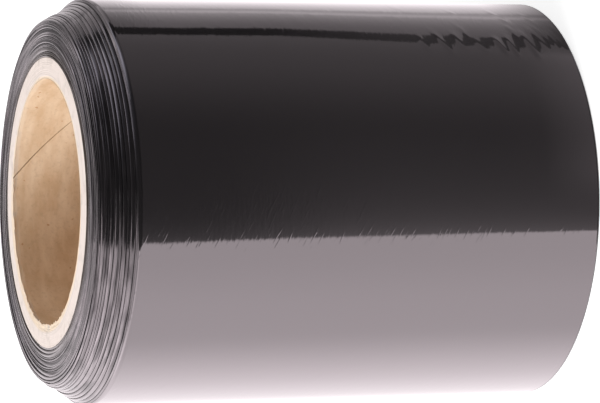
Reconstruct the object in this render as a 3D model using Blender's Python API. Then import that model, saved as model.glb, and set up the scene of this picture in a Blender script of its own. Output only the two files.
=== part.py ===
"""A short roll of black stretch wrap on a spiral-wound paper core, standing on one wound end.

Two pieces: the paper core, cut flush with the innermost turns, and the wound film, whose turns
are one body. The winding crept sideways as it grew, so the outer turns sit below the core's cut
end at the top and stand below the core at the foot, where they carry the roll.
"""

import math

import bmesh
import bpy
from mathutils import Vector

MM = 0.001
FULL_TURN = math.tau

# Paper core
CORE_BORE_RADIUS = 25.0 * MM
CORE_WALL = 4.25 * MM
CORE_LENGTH = 100.0 * MM
SEAM_LEAD = 131.0 * MM
SEAM_GAP = 0.4 * MM
LINER_THICKNESS = 0.35 * MM
SEAM_TOP_ANGLE = math.radians(78.0)

# Wound film
WINDING_CLEARANCE = 0.3 * MM
FILM_BUILD_UP = 11.45 * MM
TOP_DROP = 7.3 * MM
FOOT_OVERHANG = 3.5 * MM
TURN_GROUPS = 12
GROOVE_DEPTH = 0.3 * MM
GROOVE_HALF_WIDTH = 0.16 * MM
GROUP_STEP = 0.32 * MM
RIM_EASING = 0.35 * MM

# How far a turn has dropped, against how far out it lies between the core and the outer face
TOP_OUTLINE_SHARES = (
    (0.00, 0.00),
    (0.60, 0.02),
    (0.70, 0.22),
    (0.78, 0.50),
    (0.87, 0.68),
    (0.94, 0.82),
    (1.00, 1.00),
)
FOOT_OUTLINE_SHARES = (
    (0.00, 0.00),
    (0.50, 0.04),
    (0.66, 0.35),
    (0.82, 1.00),
    (1.00, 1.00),
)

# How far each group of turns sits back from that outline, from the core outwards
TOP_STEP_SHARES = (0.2, 0.7, 0.1, 0.5, 0.9, 0.3, 0.0, 0.6, 0.2, 0.8, 0.3, 0.0)
FOOT_STEP_SHARES = (0.3, 0.0, 0.8, 0.4, 0.1, 0.6, 0.9, 0.2, 0.5, 0.1, 0.0, 0.0)

# Fineness of the faceted surfaces
ROUND_SIDES = 72
BORE_SIDES = 60
SEAM_STEPS = 26
SHARP_EDGE_ANGLE = math.radians(30.0)

# Plain finishes, as the looks start from them
KRAFT_COLOUR = (0.50, 0.35, 0.22)
KRAFT_ROUGHNESS = 0.85
FILM_COLOUR = (0.012, 0.012, 0.014)
FILM_ROUGHNESS = 0.15

CORE_RADIUS = CORE_BORE_RADIUS + CORE_WALL
CORE_BOTTOM = FOOT_OVERHANG
CORE_TOP = CORE_BOTTOM + CORE_LENGTH
FILM_BORE_RADIUS = CORE_RADIUS + WINDING_CLEARANCE
FILM_RADIUS = FILM_BORE_RADIUS + FILM_BUILD_UP


def polar(radius, angle, height):
    """The point at a radius and an angle round the roll's axis, at a height."""
    return Vector((radius * math.cos(angle), radius * math.sin(angle), height))


def add_loop(mesh, points):
    """Adds a closed ring of points to a mesh and returns its edges."""
    verts = [mesh.verts.new(point) for point in points]
    return [mesh.edges.new(pair) for pair in zip(verts, verts[1:] + verts[:1])]


def make_material(name, colour, roughness):
    """A plain, non-metallic material of one colour."""
    material = bpy.data.materials.new(name)
    material.use_nodes = True
    shader = material.node_tree.nodes["Principled BSDF"]
    shader.inputs["Base Color"].default_value = (*colour, 1.0)
    shader.inputs["Roughness"].default_value = roughness
    shader.inputs["Metallic"].default_value = 0.0
    material.diffuse_color = (*colour, 1.0)
    return material


def make_piece(name, mesh, material, height):
    """Turns a finished mesh into a named object whose origin lies on the roll's axis at a height."""
    bmesh.ops.recalc_face_normals(mesh, faces=mesh.faces)
    data = bpy.data.meshes.new(name)
    mesh.to_mesh(data)
    mesh.free()
    data.shade_smooth()
    data.set_sharp_from_angle(angle=SHARP_EDGE_ANGLE)
    data.materials.append(material)
    piece = bpy.data.objects.new(name, data)
    piece.location = (0, 0, height)
    bpy.context.scene.collection.objects.link(piece)
    return piece


def bore_outline(height, turn):
    """The bore in plan: a circle broken by the narrow notch where the liner's edges meet."""
    half_notch = SEAM_GAP / 2 / CORE_BORE_RADIUS
    open_arc = FULL_TURN - 2 * half_notch
    angles = [half_notch + open_arc * side / BORE_SIDES for side in range(BORE_SIDES + 1)]
    wall = [polar(CORE_BORE_RADIUS, turn + angle, height) for angle in angles]
    notch_floor = CORE_BORE_RADIUS + LINER_THICKNESS
    return wall + [polar(notch_floor, turn + side * half_notch, height) for side in (-1, 1)]


def circle(radius, height):
    """A ring of points at one height."""
    return [
        polar(radius, FULL_TURN * side / ROUND_SIDES, height) for side in range(ROUND_SIDES)
    ]


def paper_core(material):
    """The paper tube: its notched bore is swept upwards with a twist, so the seam is a true helix."""
    mesh = bmesh.new()
    twist = FULL_TURN * CORE_LENGTH / SEAM_LEAD
    lower_bore = add_loop(mesh, bore_outline(0, SEAM_TOP_ANGLE - twist))
    swept = bmesh.ops.spin(
        mesh,
        geom=lower_bore,
        cent=(0, 0, 0),
        axis=(0, 0, 1),
        dvec=(0, 0, CORE_LENGTH / SEAM_STEPS),
        angle=twist,
        steps=SEAM_STEPS,
    )
    upper_bore = [item for item in swept["geom_last"] if isinstance(item, bmesh.types.BMEdge)]
    lower_rim = add_loop(mesh, circle(CORE_RADIUS, 0))
    upper_rim = add_loop(mesh, circle(CORE_RADIUS, CORE_LENGTH))
    bmesh.ops.bridge_loops(mesh, edges=lower_rim + upper_rim)
    for rim, bore in ((lower_rim, lower_bore), (upper_rim, upper_bore)):
        bmesh.ops.triangle_fill(mesh, use_beauty=True, use_dissolve=False, edges=rim + bore)
    return make_piece("cardboard_core", mesh, material, CORE_BOTTOM)


def drop_share(outline, build_share):
    """Reads an end's outline: the share of its drop that is made at a share of the build-up."""
    for (inner, inner_drop), (outer, outer_drop) in zip(outline, outline[1:]):
        if build_share <= outer:
            way = (build_share - inner) / (outer - inner)
            return inner_drop + way * (outer_drop - inner_drop)
    return outline[-1][1]


def wound_end(level, drop, outline, step_shares, inwards):
    """One wound end as (radius, height) points from the core outwards, three to a group of turns.

    level is where the innermost turns end, drop is how far below it the outermost turns end,
    and inwards is the way along the axis that leads into the roll, 1 up or -1 down.
    """
    group_width = FILM_BUILD_UP / TURN_GROUPS
    points = []
    for group in range(TURN_GROUPS):
        start = FILM_BORE_RADIUS + group * group_width
        set_back = inwards * GROUP_STEP * step_shares[group]
        places = (
            (start, inwards * GROOVE_DEPTH),
            (start + GROOVE_HALF_WIDTH, 0),
            (start + group_width - GROOVE_HALF_WIDTH, 0),
        )
        for radius, sunk in places:
            share = (radius - FILM_BORE_RADIUS) / FILM_BUILD_UP
            height = level - drop * drop_share(outline, share)
            points.append((radius, height + set_back + sunk))
    return points


def film_section():
    """The film's half section: up the bore, out over the top end, down the face, in over the foot."""
    top = wound_end(CORE_TOP, TOP_DROP, TOP_OUTLINE_SHARES, TOP_STEP_SHARES, -1)
    foot = wound_end(CORE_BOTTOM, FOOT_OVERHANG, FOOT_OUTLINE_SHARES, FOOT_STEP_SHARES, 1)
    face = [
        (FILM_RADIUS, CORE_TOP - TOP_DROP - RIM_EASING),
        (FILM_RADIUS, RIM_EASING),
    ]
    return top + face + foot[::-1]


def wound_film(material):
    """The wound film: its half section is turned once about the roll's axis."""
    mesh = bmesh.new()
    section = [Vector((radius, 0, height)) for radius, height in film_section()]
    bmesh.ops.spin(
        mesh,
        geom=add_loop(mesh, section),
        cent=(0, 0, 0),
        axis=(0, 0, 1),
        angle=FULL_TURN,
        steps=ROUND_SIDES,
        use_merge=True,
    )
    return make_piece("wound_film", mesh, material, 0)


def main():
    """Clears the scene and builds the two pieces."""
    for item in list(bpy.data.objects):
        bpy.data.objects.remove(item, do_unlink=True)
    paper_core(make_material("kraft_paperboard", KRAFT_COLOUR, KRAFT_ROUGHNESS))
    wound_film(make_material("black_film", FILM_COLOUR, FILM_ROUGHNESS))


main()
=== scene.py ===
# %% [markdown]
# # A roll of black stretch wrap, dressed for its picture
# The roll is two real things: a spiral-wound paper tube, and a web of glossy black film wound
# onto it under tension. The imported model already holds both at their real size. This script
# keeps that frame, and makes the surfaces that the eye reads: the stepped ends of the turns, the
# tight glossy face, and the cut paper.

# %% Load the frame
import math

import bpy
import numpy as np
from mathutils import Euler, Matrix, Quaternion, Vector


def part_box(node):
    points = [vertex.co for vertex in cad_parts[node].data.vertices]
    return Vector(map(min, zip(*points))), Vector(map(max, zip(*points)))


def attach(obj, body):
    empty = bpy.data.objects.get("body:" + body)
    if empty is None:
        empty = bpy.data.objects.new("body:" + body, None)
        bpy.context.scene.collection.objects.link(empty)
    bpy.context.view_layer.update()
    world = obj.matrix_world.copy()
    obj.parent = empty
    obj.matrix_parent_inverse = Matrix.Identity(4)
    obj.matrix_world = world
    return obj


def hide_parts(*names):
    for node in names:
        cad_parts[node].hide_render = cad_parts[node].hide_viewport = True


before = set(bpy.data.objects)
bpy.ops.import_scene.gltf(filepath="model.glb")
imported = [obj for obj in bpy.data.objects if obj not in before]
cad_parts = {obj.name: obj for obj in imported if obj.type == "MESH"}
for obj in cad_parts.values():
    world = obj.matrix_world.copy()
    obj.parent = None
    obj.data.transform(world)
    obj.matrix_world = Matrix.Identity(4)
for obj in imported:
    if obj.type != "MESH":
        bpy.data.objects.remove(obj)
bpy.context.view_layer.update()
MM = 0.001
print("frame nodes:", sorted(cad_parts))

# %% [markdown]
# Every size below starts from the frame. The tube and the film share one upright axis, so a
# radius is a distance from that axis, and two boxes and one measured bore give all the rest.

# %% Measure the frame


def bore_radius_of(node):
    """The smallest distance of the node's points from the upright axis."""
    points = np.zeros(len(node.data.vertices) * 3, np.float32)
    node.data.vertices.foreach_get("co", points)
    plan = points.reshape(-1, 3)[:, :2]
    return float(np.hypot(plan[:, 0], plan[:, 1]).min())


CORE_LOW, CORE_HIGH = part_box("cardboard_core")
FILM_LOW, FILM_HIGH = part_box("wound_film")
BORE_RADIUS = bore_radius_of(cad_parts["cardboard_core"])
CORE_RADIUS = CORE_HIGH.x
FILM_RADIUS = FILM_HIGH.x
FOOT = FILM_LOW.z
CORE_FOOT, CORE_TOP = CORE_LOW.z, CORE_HIGH.z
BUILD_UP = FILM_RADIUS - CORE_RADIUS
print(f"bore {BORE_RADIUS / MM:.2f}, core {CORE_RADIUS / MM:.2f}, film {FILM_RADIUS / MM:.2f} mm")

# %% [markdown]
# ## Surfaces as grids
# Each surface here is a grid: its columns run round the roll, and its rows run along its
# section. A skin closes both ways, so it has no seam and no pole. Adding the points one by one
# would be slow, so numpy works them all out at once, and foreach_set hands them over in one go.

# %% Make a mesh from a grid


def grid_object(name, points, closed=True):
    """A mesh object from points in an array of rows x columns x 3, closed both ways or neither."""
    rows, columns = points.shape[:2]
    row = np.arange(rows if closed else rows - 1)[:, None]
    column = np.arange(columns if closed else columns - 1)[None, :]
    next_row, next_column = (row + 1) % rows, (column + 1) % columns
    corners = (
        row * columns + column,
        row * columns + next_column,
        next_row * columns + next_column,
        next_row * columns + column,
    )
    faces = np.stack(corners, axis=-1).reshape(-1, 4)
    mesh = bpy.data.meshes.new(name)
    mesh.vertices.add(rows * columns)
    mesh.loops.add(faces.size)
    mesh.polygons.add(len(faces))
    mesh.vertices.foreach_set("co", points.astype(np.float32).ravel())
    mesh.loops.foreach_set("vertex_index", faces.astype(np.int32).ravel())
    mesh.polygons.foreach_set("loop_start", np.arange(0, faces.size, 4, dtype=np.int32))
    mesh.update(calc_edges=True)
    mesh.shade_smooth()
    made = bpy.data.objects.new(name, mesh)
    bpy.context.scene.collection.objects.link(made)
    print(f"{name}: {rows} rows x {columns} columns, {len(faces)} faces")
    return made


def add_mask(piece, name, values):
    """Stores one number a point, so that a material can tell one zone of the skin from another."""
    attribute = piece.data.attributes.new(name, "FLOAT", "POINT")
    attribute.data.foreach_set("value", values.astype(np.float32).ravel())


def ring_points(radius, height, angle):
    """Points at radius times (cos, sin) of the angle, and at the height."""
    radius, height, angle = np.broadcast_arrays(radius, height, angle)
    return np.stack([radius * np.cos(angle), radius * np.sin(angle), height], axis=-1)


def even_angles(columns):
    """Even angles round the roll, as one row."""
    return np.linspace(0, math.tau, columns, endpoint=False)[None, :]


print("a ring of four points:", ring_points(1, 0, even_angles(4)).round(3).tolist())

# %% [markdown]
# Three small curves shape nearly everything that follows: a step that eases from 0 to 1, a bell
# round one place, and a noise that meets itself after a full turn, so that no seam shows.

# %% Steps, bells and noise


def smooth_step(low, high, value):
    """0 below low, 1 above high, and an S-curve 3t^2 - 2t^3 between them."""
    t = np.clip((value - low) / (high - low), 0, 1)
    return t * t * (3 - 2 * t)


def between(rise, fall, value):
    """1 from the end of the rise to the start of the fall, with an S-curve over each of them."""
    return smooth_step(*rise, value) * (1 - smooth_step(*fall, value))


def bell(middle, width, value):
    """The bell exp(-((value - middle) / width)^2)."""
    return np.exp(-(((value - middle) / width) ** 2))


def arc_noise(count, arcs, angle, rng):
    """count rows of heights from -1 to 1, one random height an arc, blended by smooth steps.

    The last arc blends into the first, so every row meets itself after a full turn.
    """
    heights = rng.uniform(-1, 1, (count, arcs))
    place = angle[0] / math.tau * arcs
    arc = np.floor(place).astype(int)
    turn = smooth_step(0, 1, place - arc)
    first, second = heights[:, arc % arcs], heights[:, (arc + 1) % arcs]
    return first + (second - first) * turn


print("an S-curve has risen", smooth_step(0, 1, 0.25), "after a quarter of its way")

# %% [markdown]
# ## The ends of the film
# On the real roll each turn is a film edge a fiftieth of a millimetre thick. The web wandered as
# it was wound, so the turns end in bundles, a millimetre or less wide, with a dark crevice
# between one bundle and the next. The innermost bundles lie level with the tube; the outer ones
# crept back and form a steep shoulder. At the foot the outer bundles stand lower than the tube.
# Some six hundred separate turns would be far too many faces. Instead a curve holds one end in
# section, and the bundles are laid side by side along its length.

# %% An end in section
TOP_OUTLINE_SHARES = (
    (0.000, 0.000),
    (0.585, 0.018),
    (0.625, 0.045),
    (0.665, 0.125),
    (0.700, 0.230),
    (0.780, 0.490),
    (0.870, 0.680),
    (0.940, 0.825),
    (0.985, 0.945),
    (1.000, 1.000),
)
FOOT_OUTLINE_SHARES = ((0.00, 0.00), (0.50, 0.04), (0.66, 0.35), (0.82, 0.97), (1.00, 1.00))
TOP_DROP = 7.3 * MM
OUTERMOST_SHARE = 0.985
OUTLINE_STEPS = 1500
SMOOTHED_STEPS = 61


class Outline:
    """One end of the winding in section, from the core to just inside the outermost turn."""

    def __init__(self, shares, level, drop):
        """Height is level less drop times the share at that share of the build-up, smoothed."""
        across, down = np.array(shares).T
        build_share = np.linspace(0, OUTERMOST_SHARE, OUTLINE_STEPS)
        height = level - drop * np.interp(build_share, across, down)
        kernel = np.hanning(SMOOTHED_STEPS) / np.hanning(SMOOTHED_STEPS).sum()
        padded = np.pad(height, SMOOTHED_STEPS // 2, mode="edge")
        self.height = np.convolve(padded, kernel, mode="valid")
        self.radius = CORE_RADIUS + BUILD_UP * build_share
        steps = np.hypot(np.diff(self.radius), np.diff(self.height))
        self.way = np.append(0, np.cumsum(steps))
        self.length = self.way[-1]
        slope = np.gradient(self.height, self.radius)
        self.facing = (-slope / np.hypot(1, slope), 1 / np.hypot(1, slope))

    def at(self, way):
        """Radius, height, and the outward direction's two parts, at a length along the outline."""
        tables = (self.radius, self.height, *self.facing)
        return [np.interp(way, self.way, table) for table in tables]


top_outline = Outline(TOP_OUTLINE_SHARES, CORE_TOP, TOP_DROP)
foot_outline = Outline(FOOT_OUTLINE_SHARES, CORE_FOOT, CORE_FOOT - FOOT)
print(f"top end: {top_outline.length / MM:.1f} mm of film edges from the core to the face")

# %% [markdown]
# The crevices come first. Each one wanders a little as it goes round the roll, opens and closes.
# Next to the core, and along the crease where the shoulder starts, film edges were pushed over,
# and there its sides are nicked.

# %% Crevices between the bundles
BUNDLE_WIDTHS = (0.38 * MM, 1.0 * MM)
EDGE_WANDER = 0.10 * MM
CREVICE_HALF_WIDTH = 0.08 * MM
CREASE_WAY = 7.0 * MM
CREASE_HALF_WIDTH = 0.5 * MM
PUSHED_BY_CORE = (0.4 * MM, 0.9 * MM)


def bundle_edges(length, rng):
    """Lengths at which one bundle ends and the next begins, of uneven widths."""
    widths = rng.uniform(*BUNDLE_WIDTHS, int(2 * length / sum(BUNDLE_WIDTHS)))
    return np.append(0, np.cumsum(widths)) * length / widths.sum()


def on_shoulder(ways):
    """0 on the flat turns by the core, and 1 past the crease, on the steep shoulder."""
    return smooth_step(CREASE_WAY, CREASE_WAY + 2 * CREASE_HALF_WIDTH, ways)


def crevices(outline, angle, rng):
    """Each crevice's way along the outline, openness, nicks and half width, round the roll.

    A way is a bundle's edge plus a wander, but for the first and the last. A half width is
    crevice half width (0.45 + 0.6 openness + 1.6 nicks), less 0.3 of that on the shoulder.
    """
    edges = bundle_edges(outline.length + CREVICE_HALF_WIDTH, rng)
    count = len(edges)
    free = np.minimum(1, np.arange(count)) * np.minimum(1, np.arange(count)[::-1])
    ways = edges[:, None] + EDGE_WANDER * free[:, None] * arc_noise(count, 9, angle, rng)
    openness = np.abs(arc_noise(count, 7, angle, rng))
    nicks = np.clip(arc_noise(count, 60, angle, rng), 0, 1)
    nicks = nicks * smooth_step(0.0, 0.3, arc_noise(count, 5, angle, rng))
    by_core = 1 - smooth_step(*PUSHED_BY_CORE, ways)
    nicks = nicks * np.maximum(by_core, bell(CREASE_WAY, CREASE_HALF_WIDTH, ways))
    half_widths = CREVICE_HALF_WIDTH * (0.45 + 0.6 * openness + 1.6 * nicks)
    return ways, openness, nicks, half_widths * (1 - 0.3 * on_shoulder(ways))


sample = crevices(top_outline, even_angles(8), np.random.default_rng(0))
print(f"a sample end has {len(sample[0])} crevices, the widest {2 * sample[3].max() / MM:.2f} mm")

# %% [markdown]
# Between two crevices lies a bundle's cap. A few hundred film edges pressed together mirror
# light like brushed metal, so the caps stay smooth; what varies is their height and tilt, which
# wander slowly round the roll. Neighbours rise together, as the film's tension makes them.

# %% Caps of the bundles
CAP_ROWS = 5
CAP_LIFT = 0.15 * MM
CAP_TILT = 0.28
CAP_ROUNDING = 0.04 * MM
FINE_RELIEF = 0.010 * MM


def caps(edge_ways, half_widths, angle, rng):
    """Each cap point's way along the outline, how far it stands out, and its bundle's lift.

    A cap's points stand out along the outline's facing by
    lift + tilt (way - middle) - rounding (2 share - 1)^4 + fine relief.
    """
    bundles = len(edge_ways) - 1
    starts, ends = edge_ways[:-1, None], edge_ways[1:, None]
    first, last = starts + half_widths[:-1, None], ends - half_widths[1:, None]
    share = np.linspace(0, 1, CAP_ROWS)[None, :, None]
    ways = first + share * (last - first)
    neighbours = arc_noise(bundles + 2, 6, angle, rng)
    shared_lift = (neighbours[:-2] + neighbours[1:-1] + neighbours[2:]) / 2
    lift = CAP_LIFT * (shared_lift + 0.6 * arc_noise(bundles, 8, angle, rng))[:, None]
    calmed = 1 - 0.45 * on_shoulder(starts)
    tilt = CAP_TILT * calmed * arc_noise(bundles, 11, angle, rng)[:, None]
    fine = arc_noise(bundles * CAP_ROWS, 15, angle, rng).reshape(bundles, CAP_ROWS, -1)
    stand = lift + tilt * (ways - (starts + ends) / 2) - CAP_ROUNDING * (2 * share - 1) ** 4
    return ways, stand + FINE_RELIEF * fine, lift


stand = caps(sample[0], sample[3], even_angles(8), np.random.default_rng(0))[1]
print(f"the sample's caps stand from {stand.min() / MM:.2f} to {stand.max() / MM:.2f} mm out")

# %% [markdown]
# A bundle is then eight rows: the floor of the crevice before it, a lip, five cap rows and a
# second lip. The lips keep the caps' edges crisp under smooth shading. The shade mask is painted
# shade: high where a crevice is open or nicked, and in ragged patches along the crease where film
# edges were pushed over. There the film mirrors almost nothing.

# %% A whole wound end
CREVICE_DEPTH = 0.50 * MM
LIP_WIDTH = 0.02 * MM
LIP_DROP = 0.07 * MM
CREASE_SHADE_HALF_WIDTH = 0.45 * MM
FADE_AT_CORE, FADE_AT_FACE = 0.2 * MM, 0.5 * MM


def wound_end(outline, angle, rng):
    """Points of an end's rings, their way along the outline in millimetres, and their shade.

    A crevice's floor lies below the lower of its two caps by depth (0.35 + 0.65 openness).
    A ring's point is the outline's point, moved out along its facing by how far it stands,
    which fades to nothing at the core and at the face.
    """
    edge_ways, openness, nicks, half_widths = crevices(outline, angle, rng)
    cap_ways, cap, lift = caps(edge_ways, half_widths, angle, rng)
    lower_cap = np.minimum(lift, np.roll(lift, 1, axis=0))
    floor = lower_cap - CREVICE_DEPTH * (0.35 + 0.65 * openness[:-1, None])
    before, after = cap_ways[:, :1] - LIP_WIDTH, cap_ways[:, -1:] + LIP_WIDTH
    ways = np.concatenate([edge_ways[:-1, None], before, cap_ways, after], axis=1)
    stand = np.concatenate([floor, cap[:, :1] - LIP_DROP, cap, cap[:, -1:] - LIP_DROP], axis=1)
    open_floor = smooth_step(0.12, 0.40, openness + nicks) * (1 - 0.5 * on_shoulder(edge_ways))
    shade = np.zeros(ways.shape)
    shade[:, :2] = open_floor[:-1, None]
    shade[:, -1] = open_floor[1:]

    ways, stand, shade = (part.reshape(-1, angle.shape[1]) for part in (ways, stand, shade))
    # Painted shade: ragged dark patches along the crease, added to the shade mask so the film there
    # mirrors little.
    crease_shade = arc_noise(1, 41, angle, rng) + 0.6 * arc_noise(len(ways), 70, angle, rng)
    crease_shade = 0.55 * smooth_step(0.1, 0.7, crease_shade) * bell(CREASE_WAY, CREASE_SHADE_HALF_WIDTH, ways)
    fade = smooth_step(0, FADE_AT_CORE, ways)
    fade = fade * smooth_step(0, FADE_AT_FACE, outline.length - ways)
    radius, height, out, up = outline.at(ways)
    points = ring_points(radius + stand * fade * out, height + stand * fade * up, angle)
    return points, ways / MM, np.maximum(shade, crease_shade)


END_COLUMNS = 480
end_angles = even_angles(END_COLUMNS)
rng = np.random.default_rng(11)
top_end = wound_end(top_outline, end_angles, rng)
foot_end = wound_end(foot_outline, end_angles, rng)
print(f"the top end has {len(top_end[0])} rings, and the foot has {len(foot_end[0])}")

# %% [markdown]
# An open sheet would show its back and has no inside. Two rings hidden in the roll, one behind
# the face and one against the core, close each end to a solid skin.

# %% Build both ends
LAP = 0.8 * MM


def end_piece(name, end, inner_level, way_round):
    """A closed skin from an end's rings; way_round of -1 turns its columns, so faces look out."""
    points, ways, shade = end
    inner_radii = np.array([FILM_RADIUS - LAP, CORE_RADIUS])[:, None]
    closed = np.concatenate([points, ring_points(inner_radii, inner_level, end_angles)])
    piece = grid_object(name, closed[:, ::way_round])
    two_more = ((0, 2), (0, 0))
    add_mask(piece, "across", np.pad(ways, two_more, mode="edge")[:, ::way_round])
    add_mask(piece, "shade", np.pad(shade, two_more)[:, ::way_round])
    return piece


film_end = end_piece("film_end", top_end, top_outline.height[-1] - LAP, -1)
foot_end[0][..., 2] = np.maximum(foot_end[0][..., 2], FOOT)
film_foot = end_piece("film_foot", foot_end, CORE_FOOT + LAP, 1)
print(f"the shoulder's outer ring lies {(CORE_TOP - top_outline.height[-1]) / MM:.1f} mm down")

# %% [markdown]
# ## The face of the film
# The face is the glossy outside of the last turns. It is almost a true cylinder, so what shows
# is how it mirrors the room. Slow waves bend the mirrored edges a little. Near the foot, on the
# side by the dark line, the film is pleated: it stands up in short slanted ridges a tenth or two
# of a millimetre tall. Bump would bend what the film mirrors and leave the mesh itself smooth, so
# the ridges are real relief, each one a bell across and a flat-topped bell along.

# %% Pleats and crinkles
CRINKLED_HEIGHT = 34 * MM
CRINKLE_COUNT = 34
PLEAT_COUNT = 14
PLEAT_SIDE = (math.radians(-37), math.radians(3))
CRINKLE_SIDE = (math.radians(-26), math.radians(6))
CRINKLE_SHARE = 0.22
STREWN_LEVELS = (4 * MM, 80 * MM)
CRINKLE_LEAN, LEAN_SPREAD = math.radians(76), 0.06
CRINKLE_LENGTHS = (2.2 * MM, 4.4 * MM)
CRINKLE_WIDTHS = (0.45 * MM, 0.75 * MM)
CRINKLE_HEIGHTS = (0.09 * MM, 0.20 * MM)
FAINTER_LEVELS = (17 * MM, 21 * MM)
WAVE_HEIGHT = 0.012 * MM


def crinkle_places(rng):
    """Which are pleats, and each one's height, middle angle and lean.

    Pleats rise from the foot by ((order + 1 + jitter) / (count + 1))^1.5; the rest are strewn.
    """
    order = np.arange(CRINKLE_COUNT)
    pleat = order < PLEAT_COUNT
    jitter = rng.uniform(-0.3, 0.3, CRINKLE_COUNT)
    rising = CRINKLED_HEIGHT * ((order + 1 + jitter).clip(0) / (PLEAT_COUNT + 1)) ** 1.5
    level = np.where(pleat, rising, rng.uniform(*STREWN_LEVELS, CRINKLE_COUNT))
    by_line = rng.normal(*PLEAT_SIDE, CRINKLE_COUNT)
    middle = np.where(pleat, by_line, rng.normal(*CRINKLE_SIDE, CRINKLE_COUNT))
    return pleat, level, middle, rng.normal(CRINKLE_LEAN, LEAN_SPREAD, CRINKLE_COUNT)


def crinkles(height, angle):
    """How far the face stands out: the sum over crinkles of A exp(-(v / w)^2) exp(-(u / l)^4).

    On the unrolled face, u runs along a crinkle and v across it, from its middle point.
    """
    crinkle_rng = np.random.default_rng(5)
    pleat, level, middle, lean = crinkle_places(crinkle_rng)
    long = crinkle_rng.uniform(*CRINKLE_LENGTHS, CRINKLE_COUNT)
    wide = crinkle_rng.uniform(*CRINKLE_WIDTHS, CRINKLE_COUNT)
    tall = crinkle_rng.uniform(*CRINKLE_HEIGHTS, CRINKLE_COUNT) * np.where(pleat, 1, CRINKLE_SHARE)
    tall = tall * (1 - 0.6 * smooth_step(*FAINTER_LEVELS, level))
    reached = np.zeros(height.shape)
    for index in range(CRINKLE_COUNT):
        arc = FILM_RADIUS * ((angle - middle[index] + math.pi) % math.tau - math.pi)
        rise = height - FOOT - level[index]
        u = rise * math.cos(lean[index]) + arc * math.sin(lean[index])
        v = arc * math.cos(lean[index]) - rise * math.sin(lean[index])
        reached += tall[index] * np.exp(-((v / wide[index]) ** 2) - (u / long[index]) ** 4)
    return reached


def face_waves(height, angle):
    """Slow waves, A (sin(2 angle + 140 z) + 0.7 sin(5 angle - 90 z + 1)), z in metres."""
    wave = np.sin(2 * angle + 140 * height) + 0.7 * np.sin(5 * angle - 90 * height + 1)
    return WAVE_HEIGHT * wave


print(f"{PLEAT_COUNT} pleats and {CRINKLE_COUNT - PLEAT_COUNT} faint crinkles on the face")

# %% [markdown]
# The face's rows lie close together where the pleats are, and wider apart above. The rim is the
# outermost turn's edge, which isn't quite level all round, and each edge turns in softly, because
# a sharp edge would mirror nothing.

# %% Build the face
FACE_COLUMNS = 440
PLAIN_ROWS, CRINKLED_ROWS = 60, 140
RIM_EASING = 0.25 * MM
RIM_STAND = 0.12 * MM
RIM_WANDER = 0.07 * MM
FACE_SET_IN = 0.02 * MM
EASING_SHARES = ((0.0, 0.60), (0.05, 0.30), (0.30, 0.05), (0.60, 0.0))

face_angles = even_angles(FACE_COLUMNS)
rim = top_outline.height[-1] + RIM_STAND
rim_wander = RIM_WANDER * arc_noise(1, 11, face_angles, rng)
crinkle_top = FOOT + CRINKLED_HEIGHT
plain_levels = np.linspace(rim - RIM_EASING, crinkle_top, PLAIN_ROWS, endpoint=False)
crinkled_levels = np.linspace(crinkle_top, FOOT + RIM_EASING, CRINKLED_ROWS)
levels = np.concatenate([plain_levels, crinkled_levels])[:, None]
levels = levels + rim_wander * smooth_step(FOOT, rim, levels)
relief = crinkles(levels, face_angles) + face_waves(levels, face_angles)
face_radius = FILM_RADIUS - FACE_SET_IN + relief


def eased_edge(radius, level, way):
    """Rings that turn a face's edge inwards; way is 1 at the top edge and -1 at the foot."""
    rings = []
    for down, inwards in EASING_SHARES:
        height = level + way * RIM_EASING * (EASING_SHARES[-1][0] - down)
        rings.append(ring_points(radius - RIM_EASING * inwards, height, face_angles))
    return np.concatenate(rings)


inner_radius = np.full((1, 1), FILM_RADIUS - 2 * LAP)
face_points = np.concatenate(
    [
        ring_points(inner_radius, levels[:1] - LAP, face_angles),
        eased_edge(face_radius[:1], levels[:1], 1),
        ring_points(face_radius, levels, face_angles),
        eased_edge(face_radius[-1:], levels[-1:], -1)[::-1],
        ring_points(inner_radius, levels[-1:] + LAP, face_angles),
    ]
)
face_points[..., 2] = np.maximum(face_points[..., 2], FOOT)
film_face = grid_object("film_face", face_points[:, ::-1])
print(f"the face's relief runs from {relief.min() / MM:.3f} to {relief.max() / MM:.3f} mm")

# %% [markdown]
# ## The paper core
# The tube is wound from strips of paperboard, glued one over the other. The innermost strip's
# edges meet in a seam that climbs the bore as a helix. A painted line would have no depth, so
# the grid's columns are twisted to run along that helix, and eight columns close together carve
# a crisp groove.

# %% Columns that follow the seam
SEAM_LEAD = 131.0 * MM
SEAM_TOP_ANGLE = math.radians(78.0)
SEAM_HALF_WIDTH = 0.2 * MM
SEAM_DEPTH = 0.3 * MM
CORE_COLUMNS = 396
SEAM_COLUMN_SHARES = np.array([-3.0, -1.6, -1.0, -0.6, 0.0, 0.6, 1.0, 1.6])

seam_angle = SEAM_HALF_WIDTH / BORE_RADIUS
at_seam = SEAM_COLUMN_SHARES * seam_angle
even_count = CORE_COLUMNS - len(at_seam)
elsewhere = np.linspace(3.0 * seam_angle, math.tau + at_seam[0], even_count, endpoint=False)
column_angles = np.append(at_seam, elsewhere)[None, :]
end_seen = (column_angles + SEAM_TOP_ANGLE) % math.tau


def twisted(height):
    """The seam's angle at a height: it makes one turn a lead."""
    return SEAM_TOP_ANGLE + math.tau * (height - CORE_TOP) / SEAM_LEAD


turns = (twisted(CORE_TOP) - twisted(CORE_FOOT)) / math.tau
print(f"the seam climbs the bore in {turns:.2f} of a turn")

# %% [markdown]
# A saw cut the tube to length. On one side it dragged the last ply of paper inwards and left it
# in rags and burrs along the bore's rim, and there the pale torn edge is widest. These masks say
# where round the rim each of them lies.

# %% Where the saw tore the rim
RAGGED_SIDE = math.radians(158)
CREAM_SIDE = math.radians(128)
FOLDED_SIDE = math.radians(55)
TORN_WIDTH, TORN_WIDTH_MORE, TORN_WIDTH_WANDER = 0.50 * MM, 0.85 * MM, 0.12 * MM


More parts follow.
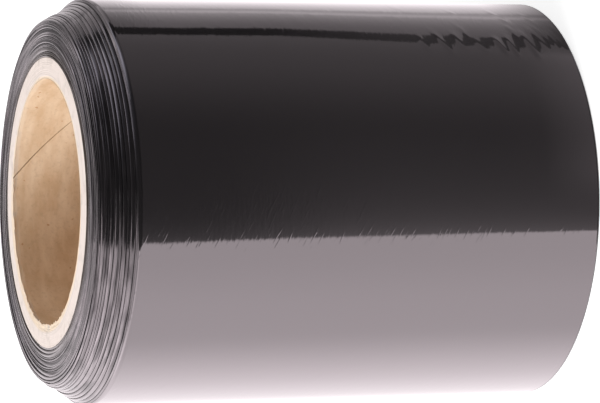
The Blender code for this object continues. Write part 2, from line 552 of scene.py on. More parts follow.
def side(low, high, middle):
    """An S-curve of cos(angle - middle) from low to high: 1 on that side and 0 opposite it."""
    return smooth_step(low, high, np.cos(end_seen - middle))


rng = np.random.default_rng(23)
torn_side = side(-0.35, 0.55, RAGGED_SIDE)
rags = arc_noise(1, 61, end_seen, rng) + 0.5 * arc_noise(1, 131, end_seen, rng)
rags = np.clip(rags, 0, 1) * torn_side
burrs = rng.uniform(0, 1, end_seen.shape) ** 9 * torn_side
cream_side = side(-0.2, 0.95, CREAM_SIDE)
ply_edge = TORN_WIDTH + TORN_WIDTH_MORE * cream_side
ply_edge = ply_edge + TORN_WIDTH_WANDER * arc_noise(1, 47, end_seen, rng)
print(f"the torn ply is {ply_edge.min() / MM:.1f} to {ply_edge.max() / MM:.1f} mm wide")

# %% [markdown]
# The bore's wall is a plain cylinder, but for three things: the seam's groove with a slight curl
# of paper beside it, and near the rim the rags and burrs, which lean into the bore. Each is a mask
# times how far it reaches. The rows crowd towards the rim, where the detail is.

# %% The bore
BORE_ROWS = 110
SEAM_CURL = 0.03 * MM
RIM_LEAN, RAG_REACH, BURR_REACH = 0.15 * MM, 0.28 * MM, 0.60 * MM
RAG_DEPTH, BURR_DEPTH = 0.9 * MM, 0.4 * MM

bore_share = 1 - (1 - np.linspace(0, 1, BORE_ROWS)[:, None]) ** 1.5
bore_heights = CORE_FOOT + (CORE_TOP - CORE_FOOT) * bore_share
seam_arc = np.abs((column_angles + math.pi) % math.tau - math.pi) * BORE_RADIUS
groove = 1 - smooth_step(0.6 * SEAM_HALF_WIDTH, SEAM_HALF_WIDTH, seam_arc)
curl = bell(1.6 * SEAM_HALF_WIDTH, SEAM_HALF_WIDTH, seam_arc)
near_rim = smooth_step(CORE_TOP - RAG_DEPTH, CORE_TOP, bore_heights)
at_rim = smooth_step(CORE_TOP - BURR_DEPTH, CORE_TOP, bore_heights)
bore_radii = BORE_RADIUS + SEAM_DEPTH * groove - SEAM_CURL * curl + 0 * bore_heights
bore_radii = bore_radii - (RIM_LEAN * torn_side + RAG_REACH * rags) * near_rim
bore_radii = bore_radii - BURR_REACH * burrs * at_rim
print(f"rags and burrs reach {(BORE_RADIUS - bore_radii.min()) / MM:.2f} mm into the bore")

# %% [markdown]
# The cut end shows the plies as fine rings, each a shallow arch between two glue lines, crossed
# by the saw's marks. The torn ply by the bore lies a little lower, and rough. The rim's rags pull
# the nearest rings along with them, by (1 - share)^8 at a share of the way out.

# %% The cut ends
PLY = 0.42 * MM
CUT_ROWS = 66
FOOT_ROWS = 30
ARCH_HEIGHT = 0.03 * MM
SAW_MARK = 0.006 * MM
TORN_RELIEF, TORN_DROP = 0.07 * MM, 0.04 * MM
OUTER_EASING = 0.2 * MM

cut_share = np.linspace(0, 1, CUT_ROWS)[:, None]
cut_radii = BORE_RADIUS + cut_share * (CORE_RADIUS - BORE_RADIUS)
cut_radii = cut_radii + (bore_radii[-1:] - BORE_RADIUS) * (1 - cut_share) ** 8
from_bore = cut_radii - BORE_RADIUS


def ply_arches(plies_in):
    """Arches between glue lines, height |sin(pi plies)|^0.5, so that each glue line is a notch."""
    return ARCH_HEIGHT * np.abs(np.sin(math.pi * plies_in)) ** 0.5


arches = ply_arches(from_bore / PLY + 0.15 * arc_noise(1, 9, end_seen, rng))
saw_marks = SAW_MARK * arc_noise(CUT_ROWS, 70, end_seen, rng)
inner_ply = 1 - smooth_step(0.65, 1.25, from_bore / ply_edge)
torn = inner_ply * torn_side * TORN_RELIEF * arc_noise(CUT_ROWS, 90, end_seen, rng)
cut_levels = arches + saw_marks + torn - TORN_DROP * inner_ply
cut_levels = cut_levels * smooth_step(0, OUTER_EASING, CORE_RADIUS - cut_radii)
top_heights = CORE_TOP + cut_levels - ARCH_HEIGHT
foot_radii = np.linspace(CORE_RADIUS, BORE_RADIUS, FOOT_ROWS)[:, None]
foot_heights = CORE_FOOT + ARCH_HEIGHT - ply_arches((foot_radii - BORE_RADIUS) / PLY)
print(f"{(CORE_RADIUS - BORE_RADIUS) / PLY:.0f} plies of {PLY / MM} mm across the wall")

# %% [markdown]
# One skin now runs up the bore, out over the cut end, down the outside and in under the foot.
# Its masks tell the material where the paper is cut (and where the saw folded a pale edge over
# into the bore), how far out a ring lies, which ply is the torn one, and where the seam is.

# %% Build the tube
OUTSIDE_ROWS = 36
FOLD_DEPTH, FOLD_WANDER, FOLD_SOFTNESS = 0.85 * MM, 0.22 * MM, 0.12 * MM
outside_heights = np.linspace(CORE_TOP, CORE_FOOT, OUTSIDE_ROWS + 2)[1:-1, None]
all_round = np.zeros(column_angles.shape)
outside_radii = CORE_RADIUS + 0 * outside_heights
section_radii = [bore_radii, cut_radii, outside_radii, foot_radii]
section_heights = [bore_heights, top_heights, outside_heights, foot_heights]
radii = np.concatenate([part + all_round for part in section_radii])
heights = np.concatenate([part + all_round for part in section_heights])
core = grid_object("paper_tube", ring_points(radii, heights, column_angles + twisted(heights)))

folded_side = np.maximum(cream_side, 0.55 * side(-0.1, 0.9, FOLDED_SIDE))
folded_depth = FOLD_DEPTH + FOLD_WANDER * arc_noise(1, 53, end_seen, rng)
below_fold = CORE_TOP - bore_heights - folded_depth
past_fold = smooth_step(-FOLD_SOFTNESS, FOLD_SOFTNESS, below_fold)
cut_rows = slice(BORE_ROWS, BORE_ROWS + CUT_ROWS)
cut_edge = np.ones(radii.shape)
cut_edge[:BORE_ROWS] = (1 - past_fold) * folded_side
cut_edge[cut_rows.stop : cut_rows.stop + OUTSIDE_ROWS] = 0
pale_ply = np.ones(radii.shape)
pale_ply[cut_rows] = inner_ply
dark_seam = np.zeros(radii.shape)
dark_seam[:BORE_ROWS] = groove
add_mask(core, "cut_edge", cut_edge)
add_mask(core, "across", radii / MM)
add_mask(core, "inner_ply", pale_ply)
add_mask(core, "seam", dark_seam)
print(f"the pale fold reaches {folded_depth.max() / MM:.1f} mm down the bore")

# %% [markdown]
# ## Materials
# A material is a small network of nodes. These helpers add a node, set or link its inputs in one
# call, and read the masks that the meshes carry, so that each finish below is one short list of
# the shader's inputs. Patterns read Object coordinates, so they stay on the surface wherever the
# camera stands.

# %% Node helpers


def fill_inputs(tree, node, inputs):
    """Gives each named input of a node a plain value, or the output of another node."""
    for key, value in inputs.items():
        if isinstance(value, bpy.types.NodeSocket):
            tree.links.new(value, node.inputs[key])
        else:
            node.inputs[key].default_value = value


def add_node(tree, kind, inputs=None, **settings):
    """A new node with its settings and its inputs."""
    made = tree.nodes.new(kind)
    for name, value in settings.items():
        setattr(made, name, value)
    fill_inputs(tree, made, inputs or {})
    return made


def math_node(tree, operation, first, second):
    """The result of one sum on two values or outputs."""
    return add_node(tree, "ShaderNodeMath", {0: first, 1: second}, operation=operation).outputs[0]


def vector_node(tree, operation, inputs):
    """The result of one sum on vectors."""
    return add_node(tree, "ShaderNodeVectorMath", inputs, operation=operation).outputs[0]


def mask_of(tree, name):
    """A point mask that the mesh carries."""
    return add_node(tree, "ShaderNodeAttribute", attribute_name=name).outputs["Fac"]


def object_place(tree):
    """The place on the piece, in metres."""
    return add_node(tree, "ShaderNodeTexCoord").outputs["Object"]


def mapped(tree, place, **settings):
    """The place, turned or stretched by a Mapping node."""
    return add_node(tree, "ShaderNodeMapping", {"Vector": place, **settings}).outputs["Vector"]


def noise_of(tree, place, scale, detail, roughness=0.6):
    """Cloudy noise from 0 to 1, at so many clouds a metre."""
    inputs = {"Vector": place, "Scale": scale, "Detail": detail, "Roughness": roughness}
    return add_node(tree, "ShaderNodeTexNoise", inputs).outputs["Fac"]


def ranged(tree, value, low, high, first=0.0, second=1.0):
    """The value's place between low and high, as a number from first to second."""
    ends = {"Value": value, "From Min": low, "From Max": high, "To Min": first, "To Max": second}
    return add_node(tree, "ShaderNodeMapRange", ends).outputs["Result"]


def mixed(tree, share, first, second):
    """A colour between two colours."""
    inputs = {0: share, 6: first, 7: second}
    return add_node(tree, "ShaderNodeMix", inputs, data_type="RGBA").outputs[2]


def new_material(name):
    """A material with its shader, and the tree to build in."""
    material = bpy.data.materials.new(name)
    material.use_nodes = True
    return material, material.node_tree, material.node_tree.nodes["Principled BSDF"]


def bump_of(tree, height):
    """The normal of a surface that is raised by a height in metres."""
    inputs = {"Height": height, "Distance": 1.0, "Strength": 1.0}
    return add_node(tree, "ShaderNodeBump", inputs).outputs["Normal"]


print("node helpers ready")

# %% [markdown]
# Both the film's ends and the cut paper carry fine lines that run round the roll. Plain noise
# would be stretched by hand for each. This noise takes the direction from the axis as a point on
# a circle, and the ring's distance as the height above it, so it is drawn out along the rings and
# meets itself after a full turn. A node group holds it once, for the film's relief and for the
# paper's colour and relief.

# %% Ring noise, shared by the film and the paper


def ring_lines(tree, across, fineness, changes):
    """Noise at the point changes * (direction from the axis), lifted by across * fineness."""
    flat = vector_node(tree, "MULTIPLY", {0: object_place(tree), 1: (1, 1, 0)})
    spoke = vector_node(tree, "NORMALIZE", {0: flat})
    circle = vector_node(tree, "SCALE", {0: spoke, "Scale": changes})
    ring = math_node(tree, "MULTIPLY", across, fineness)
    lifted = add_node(tree, "ShaderNodeCombineXYZ", {"Z": ring}).outputs[0]
    return noise_of(tree, vector_node(tree, "ADD", {0: circle, 1: lifted}), 1.0, 2.0)


ring_noise = bpy.data.node_groups.new("ring_noise", "ShaderNodeTree")
for socket in ("Across", "Fineness", "Changes"):
    ring_noise.interface.new_socket(socket, in_out="INPUT", socket_type="NodeSocketFloat")
ring_noise.interface.new_socket("Value", in_out="OUTPUT", socket_type="NodeSocketFloat")
given = ring_noise.nodes.new("NodeGroupInput").outputs
lines = ring_lines(ring_noise, given["Across"], given["Fineness"], given["Changes"])
add_node(ring_noise, "NodeGroupOutput", {"Value": lines})


def ring_noise_of(tree, fineness, changes):
    """The group's noise: so many lines a millimetre, and so many changes a radian."""
    inputs = {"Across": mask_of(tree, "across"), "Fineness": fineness, "Changes": changes}
    return add_node(tree, "ShaderNodeGroup", inputs, node_tree=ring_noise).outputs["Value"]


print("ring noise:", [item.name for item in ring_noise.interface.items_tree])

# %% [markdown]
# Stretch film is a clear, very glossy plastic, here dyed black. Almost nothing comes back from
# inside it, so its look is its mirroring. Turn upon turn lies tight below the surface, and each
# one mirrors a little too; an index above the plastic's own stands for all of them together. On
# the face the pull of the winding leaves faint level streaks and a few slanted hairlines.

# %% The film on the face
FILM_INDEX = 1.8
FILM_TINT = (1.0, 0.93, 0.96, 1)
FILM_BLACK = (0.006, 0.0055, 0.006, 1)
FACE_ROUGHNESS = (0.045, 0.055)
STREAK_HEIGHT, STREAK_SCALE = 0.013 * MM, (350, 350, 1600)
HAIR_HEIGHT, HAIR_SCALE, HAIR_SLANT = 0.007 * MM, (300, 300, 2600), -0.45

face_material, tree, shader = new_material("black_film_face")
place = object_place(tree)
streaks = noise_of(tree, mapped(tree, place, Scale=STREAK_SCALE), 1.0, 2.0, 0.5)
slanted = mapped(tree, place, Rotation=(0, HAIR_SLANT, 0))
hairs = noise_of(tree, mapped(tree, slanted, Scale=HAIR_SCALE), 1.0, 0.0, 0.5)
hair_relief = math_node(tree, "MULTIPLY", ranged(tree, hairs, 0.64, 0.78), HAIR_HEIGHT)
streak_relief = math_node(tree, "MULTIPLY", streaks, STREAK_HEIGHT)
face_finish = {
    "Base Color": FILM_BLACK,
    "Roughness": ranged(tree, streaks, 0.35, 0.65, *FACE_ROUGHNESS),
    "IOR": FILM_INDEX,
    "Specular IOR Level": 1.0,
    "Specular Tint": FILM_TINT,
    "Normal": bump_of(tree, math_node(tree, "ADD", streak_relief, hair_relief)),
}
fill_inputs(tree, shader, face_finish)
film_face.data.materials.append(face_material)
print("face material:", len(tree.nodes), "nodes")

# %% [markdown]
# The ends are the same film seen edge on. Hundreds of parallel edges spread a reflection across
# them and keep it tight along them, as brushed metal does, so this finish is anisotropic, turned
# to follow the rings. How much the edges mirror varies: broad patches change it at random, fine
# dark lines are painted shade in the grooves between turns, paper dust from the saw dulls and
# browns the turns by the core, and the shade mask paints the crevices and the crease so that
# they mirror almost nothing. No shared group feeds that value: its lines are plain nodes in
# this material, and the group makes only the relief.

# %% The film on the ends
EDGE_BUMP = 0.05 * MM
EDGE_ROUGHNESS = (0.14, 0.30)
PAPER_DUST = (0.040, 0.028, 0.020, 1)
DUST_WAYS = (0.2, 2.6)  # in millimetres, as the mask named across is
FINE_LINES = {"fineness": 2.8, "changes": 1.6}
BROAD_PATCHES = {"fineness": 0.8, "changes": 4.0}

end_material, tree, shader = new_material("black_film_edges")
across, shade = mask_of(tree, "across"), mask_of(tree, "shade")
paper_dust = ranged(tree, across, *DUST_WAYS, 1.0, 0.0)
# Painted shade: the fine lines darken the sheen where grooves between turns lie in shade, and the
# shade mask darkens it in the crevices and along the crease.
sheen = ranged(tree, ring_lines(tree, across, **FINE_LINES), 0.40, 0.58, 0.68, 1.12)
changes_of_sheen = (
    ranged(tree, ring_lines(tree, across, **BROAD_PATCHES), 0.38, 0.58, 0.50, 1.15),
    ranged(tree, paper_dust, 0.0, 1.0, 1.0, 0.36),
    ranged(tree, shade, 0.0, 1.0, 1.0, 0.06),
)
for change in changes_of_sheen:
    sheen = math_node(tree, "MULTIPLY", sheen, change)
edge_relief = math_node(tree, "MULTIPLY", ring_noise_of(tree, **FINE_LINES), EDGE_BUMP)
end_finish = {
    "Base Color": mixed(tree, paper_dust, FILM_BLACK, PAPER_DUST),
    "Roughness": ranged(tree, shade, 0.0, 1.0, *EDGE_ROUGHNESS),
    "IOR": FILM_INDEX,
    "Specular IOR Level": sheen,
    "Specular Tint": FILM_TINT,
    "Anisotropic": 0.9,
    "Anisotropic Rotation": 0.25,
    "Tangent": add_node(tree, "ShaderNodeTangent", direction_type="RADIAL", axis="Z").outputs[0],
    "Normal": bump_of(tree, edge_relief),
}
fill_inputs(tree, shader, end_finish)
for piece in (film_end, film_foot):
    piece.data.materials.append(end_material)
print("end material:", len(tree.nodes), "nodes")

# %% [markdown]
# Core paper is unbleached kraft: warm brown, mottled in soft clouds, with fibres a fraction of a
# millimetre long and the odd dark fleck. Its cut edge is far paler, greyed by the saw, with the
# glue lines faintly darker. Paper is matt, so its colour does the work and it hardly mirrors.

# %% Kraft paper
KRAFT_LIGHT, KRAFT_DARK = (0.84, 0.64, 0.455, 1), (0.70, 0.485, 0.305, 1)
FIBRE_BROWN, FLECK_BROWN = (0.50, 0.33, 0.20, 1), (0.52, 0.22, 0.08, 1)
CUT_PALE, CUT_GREY = (0.85, 0.74, 0.685, 1), (0.65, 0.565, 0.51, 1)
TORN_CREAM = (0.90, 0.73, 0.56, 1)
SEAM_SHADOW = (0.25, 0.15, 0.08, 1)
PAPER_ROUGHNESS = (0.80, 0.90)
PAPER_BUMP = 0.03 * MM

core_material, tree, shader = new_material("kraft_paperboard")
place = object_place(tree)
clouds = noise_of(tree, mapped(tree, place, Scale=(1.0, 1.0, 2.5)), scale=110.0, detail=4.0)
fibres = noise_of(tree, place, scale=1300.0, detail=3.0)
flecks = noise_of(tree, place, scale=1000.0, detail=0.0)
kraft = mixed(tree, ranged(tree, clouds, 0.35, 0.65), KRAFT_DARK, KRAFT_LIGHT)
kraft = mixed(tree, ranged(tree, fibres, 0.52, 0.72, 0.0, 0.28), kraft, FIBRE_BROWN)
kraft = mixed(tree, ranged(tree, flecks, 0.81, 0.85, 0.0, 0.6), kraft, FLECK_BROWN)
grey_clouds = ranged(tree, noise_of(tree, place, scale=330.0, detail=4.0), 0.52, 0.74, 0.0, 0.8)
ply_lines = ranged(tree, ring_noise_of(tree, fineness=2.4, changes=1.2), 0.54, 0.66, 0.0, 0.5)
cut = mixed(tree, mask_of(tree, "inner_ply"), CUT_PALE, TORN_CREAM)
cut = mixed(tree, math_node(tree, "MAXIMUM", grey_clouds, ply_lines), cut, CUT_GREY)
paper = mixed(tree, mask_of(tree, "cut_edge"), kraft, cut)
paper_relief = math_node(tree, "ADD", fibres, ply_lines)
paper_finish = {
    "Base Color": mixed(tree, mask_of(tree, "seam"), paper, SEAM_SHADOW),
    "Roughness": ranged(tree, fibres, 0.3, 0.7, *PAPER_ROUGHNESS),
    "Specular IOR Level": 0.15,
    "Normal": bump_of(tree, math_node(tree, "MULTIPLY", paper_relief, PAPER_BUMP)),
}
fill_inputs(tree, shader, paper_finish)
core.data.materials.append(core_material)
print("paper material:", len(tree.nodes), "nodes")

# %% [markdown]
# The roll has no moving parts, so every piece rides on the one body of the frame. Three skins
# together stand for the wound film, and one for the core.

# %% Tie the pieces to the frame
pieces = (
    (film_end, "wound_film", "black_film"),
    (film_face, "wound_film", "black_film"),
    (film_foot, "wound_film", "black_film"),
    (core, "cardboard_core", "core_paperboard"),
)
for piece, node, slot in pieces:
    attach(piece, "root")
    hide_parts(node)
print("pieces:", [piece.name for piece, node, slot in pieces])

# %% [markdown]
# ## The camera
# The photograph looks down at a standing roll, turned a quarter so that the roll seems to lie.
# The camera's place, pitch and lens were fitted to the ellipses of the core and of the roll's
# ends, and its roll of about a right angle makes that quarter turn.

# %% Camera
CAMERA_PLACE = (0.0, -0.66416, 0.2898)
CAMERA_LENS = 205.17
CAMERA_PITCH = math.radians(-19.927)
CAMERA_YAW = math.radians(-0.018)
CAMERA_ROLL = math.radians(-90.509)
camera_data = bpy.data.cameras.new("camera")
camera_data.lens = CAMERA_LENS
camera_data.clip_start, camera_data.clip_end = 0.05, 30.0
camera = bpy.data.objects.new("camera", camera_data)
camera.location = CAMERA_PLACE
camera.rotation_mode = "QUATERNION"
level = Euler((math.pi / 2 + CAMERA_PITCH, 0, -CAMERA_YAW)).to_quaternion()
camera.rotation_quaternion = level @ Quaternion((0, 0, 1), CAMERA_ROLL)
bpy.context.scene.collection.objects.link(camera)
bpy.context.scene.camera = camera
print(f"the camera is {math.hypot(*CAMERA_PLACE):.2f} m from the roll's foot")

# %% [markdown]
# ## What the film mirrors
# Black gloss has hardly a colour of its own: it shows its surroundings. A studio lights such a
# thing with cards, pale boards that it mirrors, and so does this scene. The cards here form one
# tent. It starts at the foot of the roll, runs out over the floor, turns up as a wall, and comes
# back in overhead. Only mirror rays meet it, so it lights nothing and casts no shadow.
#
# Each column of the tent follows a mirrored line of sight: a line from the camera meets the
# face where the face looks along (sin t, -cos t), and leaves it mirrored. A card's edge along a
# column is therefore seen in the film as a straight line along the roll, at the angle t.

# %% The shape of the tent
LIGHT_EDGE = math.radians(-9.4)
DARK_LINE = (math.radians(47.3), math.radians(51.8))
CARD_LIFT = 0.3 * MM
FLOOR_REACH = 0.3
FAR_START = 0.4
WALL_DISTANCE = 1.2
WALL_START, WALL_HEIGHT = 0.09, 1.5
ROOF_START, ROOF_END = (1.0, 1.7), (0.1, 2.1)
FLOOR_ROWS, FAR_ROWS, WALL_ROWS, ROOF_ROWS = 13, 6, 16, 6
TURN_ANGLES = (math.radians(-88), LIGHT_EDGE, DARK_LINE[0], math.radians(88))
TURN_BY_REACH = np.radians([0, -6.7, 0, 0])
TURN_NEAR_FOOT = np.radians([0, 0, 33.0, 0])
TURN_BY_HEIGHT = np.radians([0, -3.3, 2.0, 0])
FOOT_TURN_REACH = 0.17


def card_rows():
    """How far out and how high the tent's rows lie: over the floor, up the wall, back in above."""
    near = np.linspace(0, FLOOR_REACH, FLOOR_ROWS)
    far = np.linspace(FAR_START, WALL_DISTANCE, FAR_ROWS)
    wall_up = np.linspace(WALL_START, WALL_HEIGHT, WALL_ROWS)
    roof_out, roof_up = np.linspace(ROOF_START, ROOF_END, ROOF_ROWS).T
    out = np.concatenate([near, far, np.full(WALL_ROWS, WALL_DISTANCE), roof_out])
    up = np.concatenate([np.zeros(FLOOR_ROWS + FAR_ROWS), wall_up, roof_up])
    return out[:, None], up[:, None]


def turned(t, out, up):
    """The line's angle t at a row: both of the mirrored edges lean a little along the roll.

    It is t plus three small angles, each read from a table by t, times how far out or up it is.
    """
    by_reach = np.interp(t, TURN_ANGLES, TURN_BY_REACH) * np.minimum(out, FLOOR_REACH)
    near_foot = np.interp(t, TURN_ANGLES, TURN_NEAR_FOOT) * np.minimum(out, FOOT_TURN_REACH)
    return t + by_reach + near_foot + np.interp(t, TURN_ANGLES, TURN_BY_HEIGHT) * up


def card_points(t):
    """The tent's points, foot + out * mirrored; mirrored = sight - 2 (sight . facing) facing."""
    out, up = card_rows()
    t = turned(t[None, :], out, up)
    facing = np.stack([np.sin(t), -np.cos(t)])
    foot = FILM_RADIUS * facing
    sight = foot - np.array(CAMERA_PLACE[:2])[:, None, None]
    sight = sight / np.hypot(*sight)
    mirrored = sight - 2 * (sight * facing).sum(axis=0) * facing
    x, y = foot + out * mirrored
    return np.stack([x, y, FOOT + CARD_LIFT + up + 0 * x], axis=-1)


print(f"the light's edge is seen {math.degrees(LIGHT_EDGE):.1f} degrees round from the front")

# %% [markdown]
# The brightness of the tent is painted by angle and height, one card at a time, and its numbers
# were set against the photograph. The face mirrors the low rows of a card. The shoulder and
# the flat turns look up, and mirror what stands higher, so each card changes with height, which
# "wall", "aloft" and "overhead" measure. The first card is the big lit one, on the left of the
# roll: it makes the broad pale part of the face.

# %% The lit card


def height_masks(up):
    """Masks of a row's height: on the wall at all, well up it, and over the roll."""
    return smooth_step(0.0, 0.3, up), smooth_step(0.15, 0.45, up), smooth_step(1.25, 1.5, up)


def lit_card(up, degrees):
    """The big bright card: full at the front, and falling off towards the back of the roll."""
    wall, aloft, overhead = height_masks(up)
    away = np.abs(degrees)
    value = 6.8 * (1 - (0.72 + 0.14 * wall) * smooth_step(42, 86, away))
    swell = 0.11 * smooth_step(12, 30, away)
    sag = 0.16 * smooth_step(42, 62, away) * (1 - wall)
    value = value * (1 + swell - sag)
    value = value + 2.4 * aloft * bell(84, 3.5, away)
    value = value * (1 - 0.5 * aloft * smooth_step(86, 90, away)) * (1 - 0.5 * overhead)
    value = value * (1 - 0.7 * smooth_step(0.6, 0.9, up) * smooth_step(62, 80, away))
    return value + 1.6 * between((0.47, 0.52), (1.1, 1.3), up) * smooth_step(86, 89, away)


print(f"lit card: {lit_card(0.0, -10.0):.1f} at its edge, {lit_card(0.0, -88.0):.1f} at the back")

# %% [markdown]
# The next card stands in front of the roll. It is dim, with a haze beside the light's edge, and
# makes the black middle of the face. Past it comes the gap, which the face shows as its thin dark
# line.

# %% The front card and the gap


def by_foot(out):
    """1 on the floor at the roll's foot, and 0 from 30 mm out."""
    return 1 - smooth_step(0.0, 0.03, out)


def front_card(out, up, degrees):
    """The dim card in front: brightest beside the light's edge, and at the roll's foot."""
    wall, aloft, overhead = height_masks(up)
    past_edge = degrees - math.degrees(LIGHT_EDGE)
    haze = 0.75 * (1 - smooth_step(0.09, 0.26, out)) * np.exp(-past_edge / 14)
    value = 0.36 + 0.56 * smooth_step(16, 42, degrees) + 0.7 * np.exp(-past_edge / 3) + haze
    value = value * (1 - 0.6 * wall) + 0.6 * by_foot(out) * between((-5, 10), (44, 47), degrees)
    return value + 0.62 * aloft * (1 - 0.6 * overhead) * smooth_step(28, 40, degrees)


def dark_gap(out):
    """The gap between cards, a little greyer close to the roll's foot."""
    return 0.12 + 0.25 * (1 - smooth_step(0.06, 0.2, out))


print(f"front card: {front_card(0.1, 0.0, 20.0):.2f}, gap: {dark_gap(0.1):.2f}")

# %% [markdown]
# Behind the gap a pale card ends in the bright strip at the roll's edge. High above the front one
# hangs a soft, cool card: the face never meets it, but the steep shoulder mirrors it as a sheen.

# %% The back card and the high card


def back_card(out, up, degrees):
    """The pale card behind: a thin bright line, a thin dark one, a shaded foot, a lit upper half.

    The floor past 27 cm is mirrored by the shoulder's outline alone, so it is dimmed against glare.
    """
    wall, aloft, overhead = height_masks(up)
    away = np.abs(degrees)
    value = 1.0 + 1.0 * smooth_step(54, 74, degrees) * (1 - wall)
    value = value + 0.40 * bell(64.2, 0.9, degrees) - 0.40 * bell(66.8, 1.2, degrees)
    far_floor = smooth_step(0.27, 0.33, out) * (1 - wall)
    value = value * (1 - 0.6 * by_foot(out)) * (1 - 0.42 * far_floor)
    value = value * (1 - 0.35 * smooth_step(76, 88, away) * (1 - wall)) * (1 + 0.15 * wall)
    value = value * (1 - 0.75 * aloft * smooth_step(62, 80, away)) * (1 - 0.7 * overhead)
    value = value + 1.3 * between((0.38, 0.47), (1.3, 1.5), up) * smooth_step(84, 88, away)
    return value + 0.7 * between((0.9, 1.05), (1.4, 1.6), up) * between((60, 66), (80, 86), away)


def high_card(up, degrees):
    """A soft card high on the right, which the shoulder mirrors as its cool grey sheen."""
    return 2.5 * between((0.50, 0.95), (1.8, 2.0), up) * between((33, 43), (55, 61), degrees)


print(f"back card: {back_card(0.1, 0.0, 70.0):.1f}, high card: {high_card(1.2, 50.0):.1f}")

# %% [markdown]
# The cards are joined along the tent, and then all of them are turned down together: least at
# the back, where the film is seen at a glance and mirrors nearly everything, and most at the
# front. The wall up high gets a little back, because the ends of the roll mirror it. The gap is
# slightly wider on the wall than on the floor.

# %% Build the tent
CARD_COLUMNS = 340
CARD_SIDE = math.radians(91.5)
GAP_WIDENING = (math.radians(2), math.radians(1))
CARD_TINT, COOL_TINT = (1.0, 0.93, 0.96, 1), (0.93, 0.93, 1.06, 1)


def card_brightness(t):
    """Brightness of the tent at each row and at each line's angle t."""
    out, up = card_rows()
    degrees = np.degrees(t)
    away = np.abs(degrees)
    wall, aloft = height_masks(up)[:2]
    value = np.where(t < LIGHT_EDGE, lit_card(up, degrees), front_card(out, up, degrees))
    gap_start = DARK_LINE[0] - GAP_WIDENING[0] * wall
    gap_end = DARK_LINE[1] + GAP_WIDENING[1] * wall
    value = np.where(t > gap_start, dark_gap(out), value)
    value = np.where(t > gap_end, back_card(out, up, degrees), value)
    weaker = 0.25 + 0.75 * smooth_step(38, 88, away)
    weaker = weaker * (1 + 0.32 * smooth_step(0.65, 0.9, up))
    weaker = weaker * (1 - 0.35 * aloft * smooth_step(70, 84, away))
    return (value + high_card(up, degrees)) * weaker


card_angles = np.linspace(-CARD_SIDE, CARD_SIDE, CARD_COLUMNS)
cards = grid_object("studio_cards", card_points(card_angles), closed=False)
brightness = card_brightness(card_angles[None, :])
add_mask(cards, "brightness", brightness)
in_front = between((15, 28), (50, 60), np.degrees(card_angles))
add_mask(cards, "coolness", smooth_step(0.3, 0.5, card_rows()[1]) * in_front[None, :])
card_material, tree, plain_shader = new_material("card_glow")
tree.nodes.remove(plain_shader)
tint = mixed(tree, mask_of(tree, "coolness"), CARD_TINT, COOL_TINT)
shine = mask_of(tree, "brightness")
glow = add_node(tree, "ShaderNodeEmission", {"Color": tint, "Strength": shine})
fill_inputs(tree, tree.nodes["Material Output"], {"Surface": glow.outputs[0]})
cards.data.materials.append(card_material)
for ray in ("camera", "diffuse", "transmission", "shadow", "volume_scatter"):
    setattr(cards, "visible_" + ray, False)
print(f"the tent's brightness runs from {brightness.min():.2f} to {brightness.max():.2f}")

# %% [markdown]
# ## Floor, background and lamps
# The roll stands on a pale, matt floor before a white background. A light strong enough to burn
# the floor white would burn the paper too. Instead the floor and the world look white only to
# the camera and to mirror rays, and the floor's plain surface still takes the roll's shadow.

# %% Floor and world
FLOOR_HALF_WIDTH = 6.0
FLOOR_GREY = (0.80, 0.80, 0.80, 1)
FLOOR_GLOW = 0.62
FLOOR_GAP = 0.05 * MM
WORLD_FILL = 0.45
WHITE = (1, 1, 1, 1)


def seen_directly(tree):
    """1 for camera, glossy and transmission rays, which are to see a white background."""
    path = add_node(tree, "ShaderNodeLightPath").outputs
    first = math_node(tree, "MAXIMUM", path["Is Camera Ray"], path["Is Glossy Ray"])
    return math_node(tree, "MAXIMUM", first, path["Is Transmission Ray"])


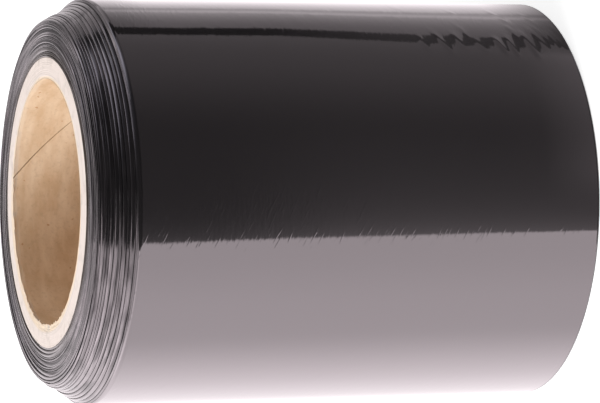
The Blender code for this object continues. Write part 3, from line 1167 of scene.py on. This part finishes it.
floor_line = np.linspace(-FLOOR_HALF_WIDTH, FLOOR_HALF_WIDTH, 3)
floor_x, floor_y = np.meshgrid(floor_line, floor_line)
floor_points = np.stack([floor_x, floor_y, np.full((3, 3), FOOT - FLOOR_GAP)], axis=-1)
floor = grid_object("floor", floor_points, closed=False)
floor_material, tree, plain_shader = new_material("pale_floor")
tree.nodes.remove(plain_shader)
matt = add_node(tree, "ShaderNodeBsdfDiffuse", {"Color": FLOOR_GREY})
strength = math_node(tree, "MULTIPLY", seen_directly(tree), FLOOR_GLOW)
glow = add_node(tree, "ShaderNodeEmission", {"Color": WHITE, "Strength": strength})
both = add_node(tree, "ShaderNodeAddShader", {0: matt.outputs[0], 1: glow.outputs[0]})
fill_inputs(tree, tree.nodes["Material Output"], {"Surface": both.outputs[0]})
floor.data.materials.append(floor_material)

world = bpy.data.worlds.new("studio")
world.use_nodes = True
bpy.context.scene.world = world
tree = world.node_tree
strength = ranged(tree, seen_directly(tree), 0.0, 1.0, WORLD_FILL, 1.0)
fill_inputs(tree, tree.nodes["Background"], {"Color": WHITE, "Strength": strength})
print("the world fills at", WORLD_FILL, "and looks white to the camera")

# %% [markdown]
# Two soft lamps shape the paper. The key stands to the left of the roll: it lights the bore's
# right wall and leaves its left wall in shade. A weak one fills from above. The film doesn't
# mirror them; that is the cards' work.

# %% Lamps


def soft_lamp(name, place, size, power):
    """A square area lamp that looks at the top of the roll, and that the film doesn't mirror."""
    data = bpy.data.lights.new(name, "AREA")
    data.shape, data.size, data.energy = "SQUARE", size, power
    lamp = bpy.data.objects.new(name, data)
    lamp.location = place
    aim = Vector((0, 0, CORE_TOP)) - Vector(place)
    lamp.rotation_euler = aim.to_track_quat("-Z", "Y").to_euler()
    lamp.visible_glossy = False
    bpy.context.scene.collection.objects.link(lamp)
    print(f"{name} lamp: {power} W, {aim.length:.2f} m away")
    return lamp


soft_lamp("key", place=(-1.15, -0.35, 0.9), size=1.0, power=21.0)
soft_lamp("top", place=(0.5, 0.6, 1.6), size=1.0, power=4.0)

# %% [markdown]
# ## Finish
# The view stays plain, so that a colour renders about as it is written.

# %% Finish
bpy.context.scene.view_settings.view_transform = "Standard"
